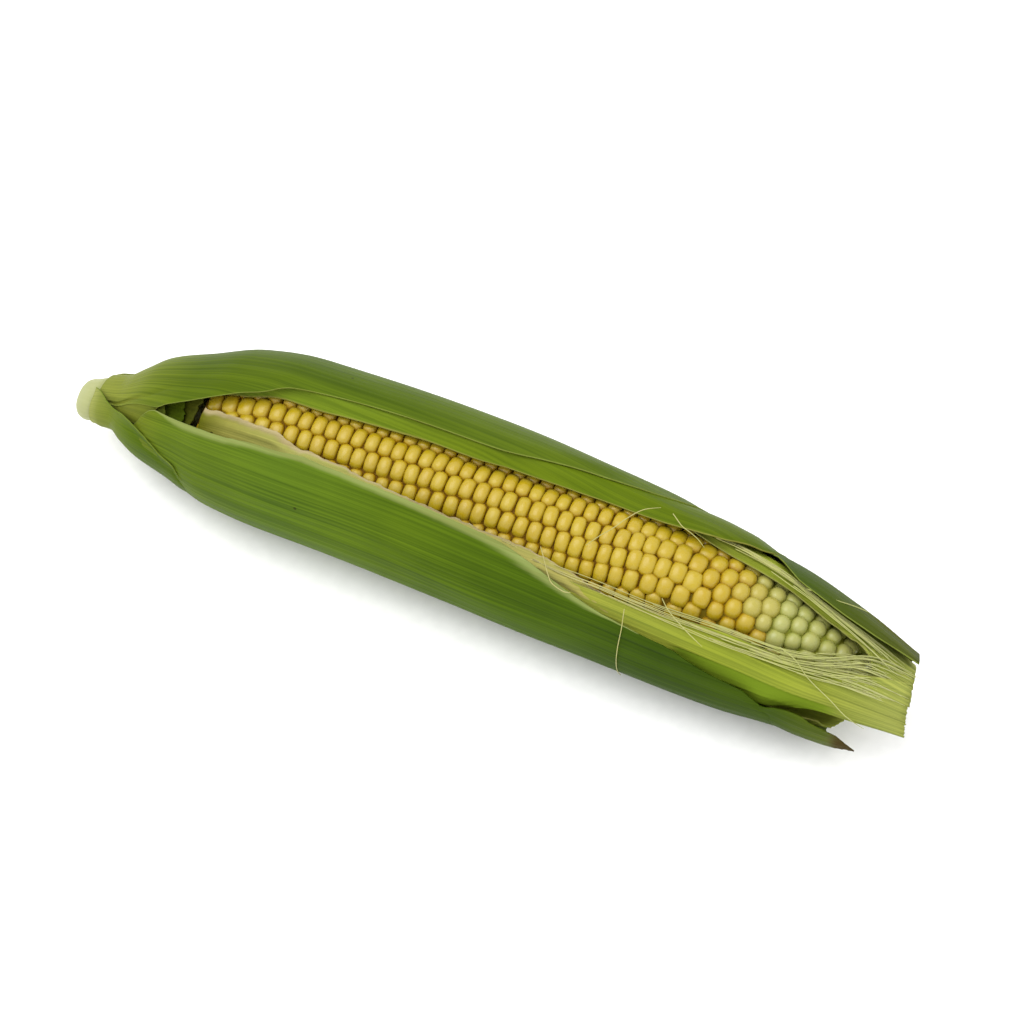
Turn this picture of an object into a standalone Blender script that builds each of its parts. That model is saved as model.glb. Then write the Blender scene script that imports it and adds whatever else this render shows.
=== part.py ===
"""Corn cob in its green husk, lying on its side: a shank, a cob with its kernels, husk leaves and silks.

A place on the ear has three values: its station (millimetres along the ear from the shank's cut end),
its angle (degrees round the axis: 0 on top, 90 at the front, 180 underneath) and its depth
(millimetres inwards from the husk's outside). In the part's frame +X runs from shank to tip and +Z is
up. The origin is under the middle of the ear, on the surface that it lies on.
"""
import bisect
import math

import bmesh
import bpy
from mathutils import Vector

MM = 0.001

# ---------------------------------------------------------------- driving dimensions, in millimetres
FIRST_STATION = 2.2         # the shank's cut end
LAST_STATION = 276.0        # the leaves' trimmed end
LEAF_THICKNESS = 0.6
SILK_DIAMETER = 0.5
SILK_SHEET_THICKNESS = 0.5
PRESS_WIDTH = 5.0           # how far from a pressed margin the leaf starts to rise again
CROWDING = 1.3              # above 1, facets are shorter near the shank, where the husk is most curved

HUSK_RADIUS = [(2.2, 6.6), (5, 6.8), (9, 8.0), (15, 8.8), (20, 12.0), (27, 16.2), (40, 20.4), (55, 25.3),
               (75, 27.6), (105, 28.1), (145, 28.4), (185, 27.3), (215, 25.8), (235, 23.4), (255, 19.2),
               (271.5, 14.5), (276, 13.4)]
AXIS_SIDE = [(2.2, -8.0), (5, -7.3), (9, -6.2), (15, -5.3), (20, -4.8), (27, -3.8), (45, -2.8), (75, -1.4),
             (125, 0.5), (175, 0.4), (220, -0.5), (250, -1.8), (276, -1.8)]
AXIS_HEIGHT = [(2.2, 17.4), (5, 16.7), (9, 17.8), (15, 19.0), (20, 19.8), (27, 21.2), (45, 23.9), (75, 26.9),
               (125, 27.5), (175, 26.9), (220, 25.3), (250, 23.0), (271.5, 20.4), (276, 19.9)]

SHANK_RADIUS = [(2.2, 4.4), (2.9, 5.9), (4.6, 6.8), (8, 7.1), (10, 6.4), (46, 5.6)]
COB_RADIUS = [(47.5, 17.0), (51, 19.0), (60, 20.3), (75, 20.8), (145, 20.8), (175, 20.2), (195, 19.0),
              (215, 17.0), (235, 13.8), (250, 10.0), (259, 6.0), (262.5, 3.0)]
COB_LIFT = [(47.5, 0.0), (140, 0.0), (205, 3.0), (235, 3.2), (262.5, 1.5)]
COB_LIFT_ANGLE = -51.0
KERNEL_ROWS = 20
ROW_GROOVE = 1.2
ROW_TWIST = [(47.5, 12), (105, 9), (140, -2), (175, -10), (205, -26), (262.5, -40)]


def smooth(points):
    """Return a smooth function through (place, value) points that never overshoots them."""
    if isinstance(points, (int, float)):
        return lambda place: points
    places = [point[0] for point in points]
    values = [point[1] for point in points]
    rises = [(b - a) / (q - p) for p, q, a, b in zip(places, places[1:], values, values[1:])]
    inner = [2 * a * b / (a + b) if a * b > 0 else 0.0 for a, b in zip(rises, rises[1:])]
    slopes = [rises[0]] + inner + [rises[-1]]

    def value(place):
        place = min(max(place, places[0]), places[-1])
        i = min(bisect.bisect_right(places, place), len(places) - 1) - 1
        span = places[i + 1] - places[i]
        t = (place - places[i]) / span
        return (values[i] * (1 + 2 * t) * (1 - t) ** 2 + values[i + 1] * t * t * (3 - 2 * t)
                + slopes[i] * span * t * (1 - t) ** 2 - slopes[i + 1] * span * t * t * (1 - t))
    return value


husk_radius = smooth(HUSK_RADIUS)
axis_side = smooth(AXIS_SIDE)
axis_height = smooth(AXIS_HEIGHT)
cob_lift = smooth(COB_LIFT)
row_twist = smooth(ROW_TWIST)


def axis_point(station, angle, radius, lowest=0.0, lift=0.0):
    """A point at a radius from the ear's axis, kept at or above a lowest height, in metres."""
    turn = math.radians(angle)
    lift_turn = math.radians(COB_LIFT_ANGLE)
    side = axis_side(station) - lift * math.sin(lift_turn) - radius * math.sin(turn)
    height = axis_height(station) + lift * math.cos(lift_turn) + radius * math.cos(turn)
    middle = (FIRST_STATION + LAST_STATION) / 2
    return Vector((station - middle, side, max(height, lowest))) * MM


def husk_point(station, angle, depth):
    """A point at a depth below the husk's outside: the ear's own weight flattens it underneath."""
    return axis_point(station, angle, husk_radius(station) - depth, lowest=max(depth, 0.0))


# ---------------------------------------------------------------- scene, materials and objects
for old_object in list(bpy.data.objects):
    bpy.data.objects.remove(old_object, do_unlink=True)

corn = bpy.data.collections.new("corn_cob")
bpy.context.scene.collection.children.link(corn)


def material(name, color, roughness):
    """A plain Principled material for one kind of plant tissue."""
    made = bpy.data.materials.new(name)
    made.use_nodes = True
    shader = made.node_tree.nodes["Principled BSDF"]
    shader.inputs["Base Color"].default_value = (*color, 1.0)
    shader.inputs["Roughness"].default_value = roughness
    shader.inputs["Metallic"].default_value = 0.0
    made.diffuse_color = (*color, 1.0)
    return made


def add_object(name, data, color, roughness):
    """Link a new object with its own material."""
    made = bpy.data.objects.new(name, data)
    data.materials.append(material(name, color, roughness))
    corn.objects.link(made)
    return made


OUTER_GREEN = (0.12, 0.21, 0.03)
BRIGHT_GREEN = (0.19, 0.30, 0.04)
PALE_GREEN = (0.42, 0.45, 0.13)
SHANK_GREEN = (0.53, 0.56, 0.20)
KERNEL_YELLOW = (0.60, 0.38, 0.05)
SILK_YELLOW = (0.62, 0.58, 0.25)


# ---------------------------------------------------------------- round bodies: shank and cob
def round_body(name, stations, meridians, place, color, roughness):
    """A closed body round the axis: a sphere whose rings are moved to the stations along the ear.

    place(station, meridian) gives the point of one meridian at one station.
    """
    shape = bmesh.new()
    bmesh.ops.create_uvsphere(shape, u_segments=meridians, v_segments=len(stations) + 1, radius=1.0)
    first_pole = place(stations[0], None)
    last_pole = place(stations[-1], None)
    for vert in shape.verts:
        ring = round(math.acos(max(-1.0, min(1.0, -vert.co.z))) / math.pi * (len(stations) + 1))
        meridian = round(math.degrees(math.atan2(vert.co.y, vert.co.x)) % 360 / 360 * meridians)
        if ring == 0:
            vert.co = first_pole
        elif ring == len(stations) + 1:
            vert.co = last_pole
        else:
            vert.co = place(stations[ring - 1], meridian % meridians)
    mesh = bpy.data.meshes.new(name)
    shape.to_mesh(mesh)
    shape.free()
    mesh.shade_smooth()
    return add_object(name, mesh, color, roughness)


def spaced(first, last, count):
    """Evenly spaced stations from first to last."""
    return [first + (last - first) * i / (count - 1) for i in range(count)]


def build_shank():
    """The stalk's stub: a rounded cut end, a step where the husk starts, then a stem to the cob."""
    radius = smooth(SHANK_RADIUS)
    sides = 20

    def place(station, meridian):
        if meridian is None:
            return axis_point(station, 0.0, 0.0)
        return axis_point(station, meridian * 360 / sides, radius(station))
    round_body("shank", [2.2, 2.9, 4.6, 8.0, 10.0, 16.0, 26.0, 36.0, 46.0], sides, place, SHANK_GREEN, 0.5)


def build_cob():
    """The cob with its kernels: one grown body whose rows stand as ridges with grooves between."""
    radius = smooth(COB_RADIUS)
    sides = KERNEL_ROWS * 2
    stations = [47.5, 51.0] + spaced(60, 235, 14) + [243, 250, 255, 259, 262.5]

    def place(station, meridian):
        lift = cob_lift(station)
        if meridian is None:
            return axis_point(station, 0.0, 0.0, lift=lift)
        reach = radius(station)
        if meridian % 2:
            reach -= min(ROW_GROOVE, reach * 0.1)
        return axis_point(station, meridian * 360 / sides + row_twist(station), reach, lift=lift)
    round_body("kernel_cob", stations, sides, place, KERNEL_YELLOW, 0.35)


# ---------------------------------------------------------------- husk leaves and silk sheets
def wrapped_sheet(name, low, high, depth, start, ends, cells, thickness, color, roughness, press=0.0):
    """A thin sheet wrapped round the ear between two margins.

    low and high are the margins' angles along the ear, ends the stations where the sheet stops at its
    low and its high margin, cells its facets across and along, and press how far its high margin is
    pushed inwards.
    """
    low, high, depth, press = smooth(low), smooth(high), smooth(depth), smooth(press)
    across, along = cells
    shape = bmesh.new()
    bmesh.ops.create_grid(shape, x_segments=across, y_segments=along, size=0.5)
    for vert in shape.verts:
        u, v = vert.co.x + 0.5, vert.co.y + 0.5
        end = ends[0] + (ends[1] - ends[0]) * u
        station = start + (end - start) * v ** CROWDING
        angle = low(station) + (high(station) - low(station)) * u
        from_margin = math.radians(high(station) - angle) * husk_radius(station)
        pressed = press(station) * math.exp(-((from_margin / PRESS_WIDTH) ** 2))
        vert.co = husk_point(station, angle, depth(station) + pressed)
    mesh = bpy.data.meshes.new(name)
    shape.to_mesh(mesh)
    shape.free()
    mesh.shade_smooth()
    made = add_object(name, mesh, color, roughness)
    wall = made.modifiers.new("wall", "SOLIDIFY")
    wall.thickness = thickness * MM
    wall.offset = -1.0
    wall.use_even_offset = True
    return made


def husk_leaf(name, low, high, depth, start, ends, cells, color, press=0.0):
    """A husk leaf; the leaves lie in layers about 1.25 mm apart, from depth 0 inwards."""
    wrapped_sheet(name, low, high, depth, start, ends, cells, LEAF_THICKNESS, color, 0.55, press)


def build_leaves():
    """The husk: outer leaves, then those that show between them, then the inner ones."""
    husk_leaf("base_husk_leaf", start=8, ends=(54.5, 24), cells=(24, 12), color=BRIGHT_GREEN, depth=-1.4,
              low=[(8, 12), (10, 20), (12, 30), (14, 41), (17, 50), (21, 52), (25, 55), (29, 60), (36, 70),
                   (40, 76), (45, 79), (48, 89), (52, 99), (54.5, 107)],
              high=[(8, 300), (24, 285)])
    husk_leaf("upper_husk_leaf", start=10, ends=(236, 240), cells=(11, 28), color=OUTER_GREEN, depth=0.0,
              low=-152,
              high=[(10, 49), (16, 48.5), (23, 37), (28, 35), (34, 35), (37, 31), (42, 26), (48, 21),
                    (55, 15), (60, 10), (66, 6), (74, -3), (92, -8), (120, -11), (139, -13), (160, -23),
                    (177, -31.5), (186, -38), (197, -56), (203, -70), (218, -100), (240, -118)])
    husk_leaf("front_husk_leaf", start=12, ends=(240, 240), cells=(12, 20), color=OUTER_GREEN, depth=0.0,
              low=[(12, 75), (24, 70), (28, 58), (32, 42), (35, 39), (41, 41), (59, 42.5), (71, 40.5),
                   (79, 40), (86, 38.5), (97, 39.5), (109, 40.5), (139, 42), (150, 43), (158, 46),
                   (165, 50), (173, 55), (182, 60), (194, 63.5), (208, 66), (217, 72), (229, 77),
                   (237, 89), (240, 92)],
              high=200)
    husk_leaf("second_husk_leaf", start=20, ends=(212, 218), cells=(12, 20), color=BRIGHT_GREEN,
              low=-130, depth=[(20, 1.45), (40, 1.4)],
              high=[(20, 50), (31, 48), (34, 36), (38, 16), (42, 8), (50, 11), (55, 8.5), (62, 6), (73, 0.5),
                    (83, 1), (93, -1), (106, -3), (131, -5.5), (144, -9), (156, -11.5), (168, -15),
                    (190, -18), (203, -18), (208, -21), (218, -33)],
              press=[(52, 0), (60, 2.0), (75, 2.2), (165, 2.2), (180, 2.0), (205, 0)])
    husk_leaf("under_husk_leaf", start=18, ends=(264, 262), cells=(7, 20), color=OUTER_GREEN,
              low=[(18, 70), (60, 76), (200, 84), (232, 86), (238, 86), (243, 81), (248, 80), (252, 88),
                   (259, 94), (264, 120)],
              high=[(18, 168), (225, 168), (240, 175), (262, 176)],
              depth=[(18, 1.6), (225, 1.7), (240, 1.6), (248, -0.1), (256, -1.4), (264, -2.0)])
    husk_leaf("keel_husk_leaf", start=15, ends=(252, 248), cells=(4, 20), color=OUTER_GREEN,
              low=177, high=[(15, 224), (225, 224), (252, 206)], depth=[(15, 1.6), (225, 1.6), (252, 1.4)])
    husk_leaf("back_husk_leaf", start=18, ends=(267, 272.3), cells=(9, 20), color=OUTER_GREEN,
              low=-126,
              high=[(18, -36), (205, -38), (216, -43), (224, -43), (231, -33), (238, -25), (244, -20.5),
                    (251, -19), (257, -19), (263, -21), (268, -24), (272.3, -26)],
              depth=[(18, 2.75), (40, 2.6), (205, 2.6), (215, 2.9), (230, 2.8), (241, 1.1), (250, -0.1),
                     (271.5, -0.6)])
    husk_leaf("lower_inner_leaf", start=18, ends=(273, 276), cells=(5, 20), color=PALE_GREEN,
              low=[(18, 54), (150, 54), (171, 52), (184, 52), (200, 50), (209, 47), (221, 43), (233, 41),
                   (244, 38), (252, 31), (257, 26), (264, 15), (273, 0)],
              high=[(18, 116), (200, 110), (236, 94), (247, 80), (258, 76), (276, 76)],
              depth=[(18, 2.7), (225, 2.9), (252, 2.7), (276, 1.6)])
    husk_leaf("upper_inner_leaf", start=32, ends=(270, 274), cells=(5, 20), color=PALE_GREEN,
              low=-78, depth=[(32, 3.9), (200, 4.0), (236, 4.1), (252, 3.6), (271, 3.2)],
              high=[(32, -36), (188, -36), (200, -25), (228, -24.5), (233, -24), (244, -19), (249, -16),
                    (253, -12.5), (257, -8), (260, 0), (263, 20), (266, 28), (274, 30)])
    husk_leaf("inner_wrap_leaf", start=21, ends=(266, 268), cells=(13, 20), color=PALE_GREEN,
              low=[(21, 86), (190, 88), (262, 104)], high=276, depth=4.2)
    husk_leaf("torn_husk_strip", start=50, ends=(196, 200), cells=(4, 14), color=PALE_GREEN,
              low=[(50, 24), (61, 26), (75, 27), (83, 34), (97, 36), (107, 40), (130, 43), (156, 43),
                   (200, 62)],
              high=[(50, 74), (200, 82)], depth=[(50, 4.1), (66, 4.5), (82, 5.1), (200, 5.0)])
    stubs = ((14, 46, 24, (36.0, 37.5), 2.9, 3.3), (8, 58, 24, (40.5, 42.5), 5.2, 5.6),
             (2, 62, 28, (46.6, 44.0), 7.4, 7.2))
    for number, (low, high, start, ends, first_depth, last_depth) in enumerate(stubs, start=1):
        husk_leaf(f"leaf_stub_{number}", start=start, ends=ends, cells=(5, 4),
                  color=BRIGHT_GREEN, low=low, high=high, depth=[(24, first_depth), (46, last_depth)])


def build_silk_sheets():
    """The silks that lie combed together, as thin sheets between the kernels and the leaves."""
    def silk_sheet(name, low, high, depth, start, ends, cells):
        wrapped_sheet(name, low, high, depth, start, ends, cells, SILK_SHEET_THICKNESS, SILK_YELLOW, 0.6)

    silk_sheet("upper_silks", start=206, ends=(266, 266), cells=(2, 10),
               depth=[(206, 2.9), (245, 2.9), (266, 2.2)],
               low=[(206, -27), (230, -28), (245, -23), (266, -20)],
               high=[(206, -24), (235, -22), (250, -14), (266, -2)])
    silk_sheet("lower_silks", start=150, ends=(262, 262), cells=(2, 14),
               depth=[(150, 4.1), (200, 4.1), (240, 4.6), (268, 4.4)],
               low=[(150, 44), (171, 46), (190, 45), (215, 40), (235, 34), (250, 22), (268, 8)],
               high=[(150, 48), (178, 51), (203, 51), (232, 48), (244, 43), (268, 28)])


# ---------------------------------------------------------------- loose silks
def silk_strand(name, route, points=14):
    """One loose silk: a thin tube along a smooth curve through (station, angle, depth) places."""
    knots = list(range(len(route)))
    columns = [smooth(list(zip(knots, column))) for column in zip(*route)]
    curve = bpy.data.curves.new(name, "CURVE")
    curve.dimensions = "3D"
    curve.bevel_depth = SILK_DIAMETER / 2 * MM
    curve.bevel_resolution = 2
    curve.use_fill_caps = True
    spline = curve.splines.new("POLY")
    spline.points.add(points - 1)
    for i, point in enumerate(spline.points):
        station, angle, depth = (column(i * knots[-1] / (points - 1)) for column in columns)
        place = axis_point(station, angle, husk_radius(station) - depth, lowest=SILK_DIAMETER)
        point.co = (*place, 1.0)
    add_object(name, curve, SILK_YELLOW, 0.6)


LOOSE_SILKS = [
    [(174, 24, 6.4), (177, 14, 4.2), (180, 7, 2.0), (182, 0, 0.6), (185, -12, 0.4), (189, -21, 0.4)],
    [(193, -20, 0.3), (198, -14, 0.5), (202, -10, 1.5), (205, -8, 3.4)],
    [(192, 51, -0.6), (193, 68, -0.6), (193, 86, -0.6), (193, 106, -0.6), (193, 120, -0.6), (192, 132, -1.2)],
    [(161, 37, 5.8), (163, 41, 2.2), (166, 45.5, -0.7), (169, 51, -0.7), (173, 55, -0.7), (176, 55, -0.7)],
    [(200, 37, 5.5), (203, 42, 3.4), (208, 48, 2.0), (212, 52, 1.6), (216, 56, 1.6)],
    [(236, 33, 4.0), (241, 36, 2.3), (246, 45, 1.9), (254, 57, 1.6), (260, 69, 1.2), (265, 76, 0.8)],
    [(238, -20, 1.0), (243, -27, 0.2), (250, -37, -0.5), (254, -44, -0.8)],
]


def build_loose_silks():
    for number, route in enumerate(LOOSE_SILKS, start=1):
        silk_strand(f"loose_silk_{number}", route)


build_shank()
build_cob()
build_leaves()
build_silk_sheets()
build_loose_silks()
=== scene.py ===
# %% [markdown]
# # An ear of sweet corn in its husk
#
# The object is one fresh ear that lies on a table. Green leaves wrap a cob, a long window has been cut
# in them so that the kernels show, and the husk's far end is trimmed, so that leaves and silks stick out
# there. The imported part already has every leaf, the cob and the shank as plain solids at their true
# places. This script keeps those places and gives each of them the surface of the living thing.
#
# The first step loads the part and keeps its box, because everything that follows is measured from it.

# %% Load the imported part
import bisect
import math
import random

import bpy
from mathutils import Matrix, Vector, noise


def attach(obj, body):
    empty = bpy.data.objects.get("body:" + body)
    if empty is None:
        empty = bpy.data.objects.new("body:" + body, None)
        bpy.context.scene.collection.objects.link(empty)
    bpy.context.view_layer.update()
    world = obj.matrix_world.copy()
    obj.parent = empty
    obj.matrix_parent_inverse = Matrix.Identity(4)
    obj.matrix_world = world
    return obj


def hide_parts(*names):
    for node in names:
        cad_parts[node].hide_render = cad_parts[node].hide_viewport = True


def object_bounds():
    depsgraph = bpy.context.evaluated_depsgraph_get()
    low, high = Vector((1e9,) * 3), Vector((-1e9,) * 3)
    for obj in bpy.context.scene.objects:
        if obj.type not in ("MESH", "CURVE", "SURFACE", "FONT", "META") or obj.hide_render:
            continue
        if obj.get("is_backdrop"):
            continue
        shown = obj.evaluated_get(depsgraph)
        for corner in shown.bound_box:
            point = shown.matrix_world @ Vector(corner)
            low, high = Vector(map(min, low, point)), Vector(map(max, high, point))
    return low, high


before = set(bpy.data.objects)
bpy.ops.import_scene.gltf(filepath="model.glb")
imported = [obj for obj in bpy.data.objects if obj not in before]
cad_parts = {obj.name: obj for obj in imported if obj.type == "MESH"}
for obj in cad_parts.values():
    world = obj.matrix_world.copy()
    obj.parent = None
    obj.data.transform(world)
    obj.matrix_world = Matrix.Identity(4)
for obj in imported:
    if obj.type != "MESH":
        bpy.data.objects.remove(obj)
cad_low, cad_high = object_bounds()
MM = 0.001
print(f"{len(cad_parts)} parts, {(cad_high.x - cad_low.x) / MM:.0f} mm long")

# %% [markdown]
# ## Places on an ear
#
# A leaf that wraps an ear is hard to describe with x, y and z, and easy with three other numbers: how far
# along the ear it is from the shank's cut end (the station, in millimetres), how far round it is (the
# angle, in degrees, 0 on top and 90 towards the front) and how deep it lies below the husk's outside.
# The ear is a little bent and its thickness changes, so a few smooth curves give its radius and the
# course of its axis. They repeat the part's own numbers, so that looks and solids agree.

# %% Smooth curves through a few points
def smooth(points):
    """Return a smooth function through (place, value) points that never overshoots them."""
    if isinstance(points, (int, float)):
        return lambda place: points
    places = [point[0] for point in points]
    values = [point[1] for point in points]
    rises = [(b - a) / (q - p) for p, q, a, b in zip(places, places[1:], values, values[1:])]
    inner = [2 * a * b / (a + b) if a * b > 0 else 0.0 for a, b in zip(rises, rises[1:])]
    slopes = [rises[0]] + inner + [rises[-1]]

    def value(place):
        place = min(max(place, places[0]), places[-1])
        i = min(bisect.bisect_right(places, place), len(places) - 1) - 1
        span = places[i + 1] - places[i]
        t = (place - places[i]) / span
        return (values[i] * (1 + 2 * t) * (1 - t) ** 2 + values[i + 1] * t * t * (3 - 2 * t)
                + slopes[i] * span * t * (1 - t) ** 2 - slopes[i + 1] * span * t * t * (1 - t))
    return value


FIRST_STATION, LAST_STATION = 2.2, 276.0    # the shank's cut end and the leaves' trimmed end
husk_radius = smooth([
    (2.2, 6.6), (5, 6.8), (9, 8.0), (15, 8.8), (20, 12.0), (27, 16.2), (40, 20.4), (55, 25.3), (75, 27.6),
    (105, 28.1), (145, 28.4), (185, 27.3), (215, 25.8), (235, 23.4), (255, 19.2), (271.5, 14.5),
    (276, 13.4)])
axis_side = smooth([
    (2.2, -8.0), (5, -7.3), (9, -6.2), (15, -5.3), (20, -4.8), (27, -3.8), (45, -2.8), (75, -1.4),
    (125, 0.5), (175, 0.4), (220, -0.5), (250, -1.8), (276, -1.8)])
axis_height = smooth([
    (2.2, 17.4), (5, 16.7), (9, 17.8), (15, 19.0), (20, 19.8), (27, 21.2), (45, 23.9), (75, 26.9),
    (125, 27.5), (175, 26.9), (220, 25.3), (250, 23.0), (271.5, 20.4), (276, 19.9)])
cob_radius = smooth([
    (47.5, 17.0), (51, 19.0), (60, 20.3), (75, 20.8), (145, 20.8), (175, 20.2), (195, 19.0), (215, 17.0),
    (235, 13.8), (250, 10.0), (259, 6.0), (262.5, 3.0)])
cob_lift = smooth([(47.5, 0.0), (140, 0.0), (205, 3.0), (235, 3.2), (262.5, 1.5)])
COB_LIFT_ANGLE = -51.0
print(f"husk {2 * husk_radius(145):.1f} mm thick, cob {2 * cob_radius(145):.1f} mm")


# %% From station, angle and depth to a point in metres
def axis_point(station, angle, radius, lowest=0.0, lift=0.0):
    """A point at a radius from the ear's axis, kept at or above a lowest height, in metres."""
    turn = math.radians(angle)
    lift_turn = math.radians(COB_LIFT_ANGLE)
    side = axis_side(station) - lift * math.sin(lift_turn) - radius * math.sin(turn)
    height = axis_height(station) + lift * math.cos(lift_turn) + radius * math.cos(turn)
    return Vector((cad_low.x / MM + station - FIRST_STATION, side, max(height, lowest))) * MM


def cob_point(station, angle):
    """A point on the kernels' crowns; the cob leans a little to the back near its tip."""
    return axis_point(station, angle, cob_radius(station), lift=cob_lift(station))


def ease(low, high, value):
    """0 up to low, 1 from high on, and a soft step between them."""
    t = min(max((value - low) / (high - low), 0.0), 1.0)
    return t * t * (3 - 2 * t)


# %% [markdown]
# ## Camera, table and light
#
# The ear lies on a plain white table and is seen from above, a little from its right. A softbox nearly
# overhead and a pale sky all round give wide soft highlights and a short shadow that hugs the ear.

# %% Camera
CAMERA_TARGET = Vector((2.62, 9.53, 20.0)) * MM
CAMERA_AZIMUTH, CAMERA_ELEVATION, CAMERA_DISTANCE = 26.13, 55.0, 0.8    # degrees and metres
CAMERA_LENS = 93.75


def facing(azimuth, elevation, distance, target=Vector()):
    """Where a camera or a light stands, and how it is turned, so that it looks at a target."""
    azimuth, elevation = math.radians(azimuth), math.radians(elevation)
    towards = Vector((math.sin(azimuth) * math.cos(elevation), -math.cos(azimuth) * math.cos(elevation),
                      math.sin(elevation)))
    return {"location": target + towards * distance,
            "rotation": towards.to_track_quat("Z", "Y").to_euler()}


bpy.ops.object.camera_add(**facing(CAMERA_AZIMUTH, CAMERA_ELEVATION, CAMERA_DISTANCE, CAMERA_TARGET))
camera = bpy.context.object
camera.name = "camera"
camera.data.lens = CAMERA_LENS
bpy.context.scene.camera = camera
print(f"camera {CAMERA_DISTANCE} m away with a {CAMERA_LENS:.0f} mm lens")

# %% Softbox and sky
SOFTBOX_SIZE, SOFTBOX_POWER = 0.8, 7.0      # metres and watts
SKY_STRENGTH = 1.5

bpy.ops.object.light_add(type="AREA", **facing(azimuth=-60, elevation=73, distance=1.1))
softbox = bpy.context.object
softbox.name = "softbox_overhead"
softbox.data.size = SOFTBOX_SIZE
softbox.data.energy = SOFTBOX_POWER
sky = bpy.data.worlds.new("studio")
sky.use_nodes = True
background = sky.node_tree.nodes["Background"]
background.inputs["Color"].default_value = (1.0, 1.0, 1.0, 1.0)
background.inputs["Strength"].default_value = SKY_STRENGTH
bpy.context.scene.world = sky
bpy.context.scene.view_settings.view_transform = "Standard"
print("softbox and sky set")

# %% [markdown]
# ## Small helpers for nodes
#
# A material is a tree of nodes. Writing it in code gets long, so these helpers add one node with its
# settings and inputs in one line, and name the few sums that every material here needs.

# %% Node helpers
LIGHT_GAIN = 2.05           # how much brighter the lights show a colour
SHEEN = 0.005               # the gloss that lies on top of it
DARKEST = 0.002
RELIEF_HEIGHT = 0.0002      # metres between the valleys and crests of a bump


def tint(red, green, blue):
    """A colour as it should look in this light, 0 to 255, as the surface's own linear values."""
    def linear(value):
        value /= 255
        value = value / 12.92 if value <= 0.04045 else ((value + 0.055) / 1.055) ** 2.4
        return max(value / LIGHT_GAIN - SHEEN, DARKEST)
    return (linear(red), linear(green), linear(blue), 1.0)


def feed(tree, node, inputs):
    """Set a node's inputs; a value is a constant or the socket that feeds the input."""
    for key, value in inputs.items():
        if isinstance(value, bpy.types.NodeSocket):
            tree.links.new(value, node.inputs[key])
        else:
            node.inputs[key].default_value = value


def add(tree, kind, inputs=None, **settings):
    """Add a node with its settings and inputs."""
    made = tree.nodes.new("ShaderNode" + kind)
    for key, value in settings.items():
        setattr(made, key, value)
    feed(tree, made, inputs or {})
    return made


def sums(tree, operation, *values):
    """One Math node; returns its result."""
    return add(tree, "Math", dict(enumerate(values)), operation=operation).outputs[0]


def times(tree, first, second):
    """The product of two values."""
    return sums(tree, "MULTIPLY", first, second)


def weighted(tree, *parts):
    """Add up (value, share) parts, each value times its share."""
    shares = [times(tree, value, share) for value, share in parts]
    total = shares.pop()
    while shares:
        total = sums(tree, "ADD", shares.pop(), total)
    return total


def spread(tree, value, low, high, to_low=0.0, to_high=1.0):
    """Turn the range low to high into another range, with soft ends."""
    return add(tree, "MapRange", {"Value": value, "From Min": low, "From Max": high, "To Min": to_low,
                                  "To Max": to_high}, interpolation_type="SMOOTHSTEP").outputs["Result"]


def mixed(tree, amount, first, second, blend_type="MIX"):
    """Mix two colours; returns the colour."""
    made = add(tree, "Mix", {0: amount, 6: first, 7: second}, data_type="RGBA", blend_type=blend_type)
    return made.outputs[2]


def bumped(tree, height, strength):
    """The surface's direction once a fine relief has bent it."""
    made = add(tree, "Bump", {"Height": height, "Strength": strength, "Distance": RELIEF_HEIGHT})
    return made.outputs["Normal"]


def attribute(tree, name):
    """A number that the piece carries at each of its points."""
    return add(tree, "Attribute", attribute_name=name, attribute_type="GEOMETRY").outputs["Fac"]


def object_place(tree):
    """Each point's x, y and z on the ear, in metres."""
    return add(tree, "TexCoord").outputs["Object"]


def use(tree, group, **inputs):
    """Place a node group in a material; returns its outputs."""
    return add(tree, "Group", inputs, node_tree=group).outputs


def new_group(name, numbers, outputs):
    """A group that takes a place and some numbers, with the sockets inside it that bring them."""
    group = bpy.data.node_groups.new(name, "ShaderNodeTree")
    group.interface.new_socket("Place", in_out="INPUT", socket_type="NodeSocketVector")
    for in_out, sockets in (("INPUT", numbers), ("OUTPUT", outputs)):
        for socket in sockets:
            group.interface.new_socket(socket, in_out=in_out, socket_type="NodeSocketFloat")
    return group, group.nodes.new("NodeGroupInput").outputs, group.nodes.new("NodeGroupOutput")


def new_material(name):
    """A new node material; returns it with its tree and its shader."""
    made = bpy.data.materials.new(name)
    made.use_nodes = True
    return made, made.node_tree, made.node_tree.nodes["Principled BSDF"]


print("node helpers ready")

# %% [markdown]
# ## Shared surface effects
#
# Fibres run along every leaf, some broad and most of them fine. Each leaf carries a map whose first
# number runs across the fibres and whose second runs along them, both in metres, so that one stretched
# noise gives them their real width. Dark blemishes and soft patches are shared in the same way.

# %% Fibres that run along a leaf
fibres, source, result = new_group("leaf_fibres", ["Spacing"], ["Streaks", "Ridges"])
axes = add(fibres, "SeparateXYZ", {0: source["Place"]})
across = sums(fibres, "DIVIDE", axes.outputs["X"], source["Spacing"])


def fibre_noise(width, length, detail, middle):
    """Noise whose cells are so many spacings wide and so many metres long, spread round its middle."""
    place = add(fibres, "CombineXYZ", {"X": sums(fibres, "DIVIDE", across, width),
                                       "Y": sums(fibres, "DIVIDE", axes.outputs["Y"], length)})
    made = add(fibres, "TexNoise", {"Vector": place.outputs[0], "Scale": 1.0, "Detail": detail,
                                    "Roughness": 0.6}, noise_dimensions="2D")
    return spread(fibres, made.outputs["Fac"], *middle)


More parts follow.
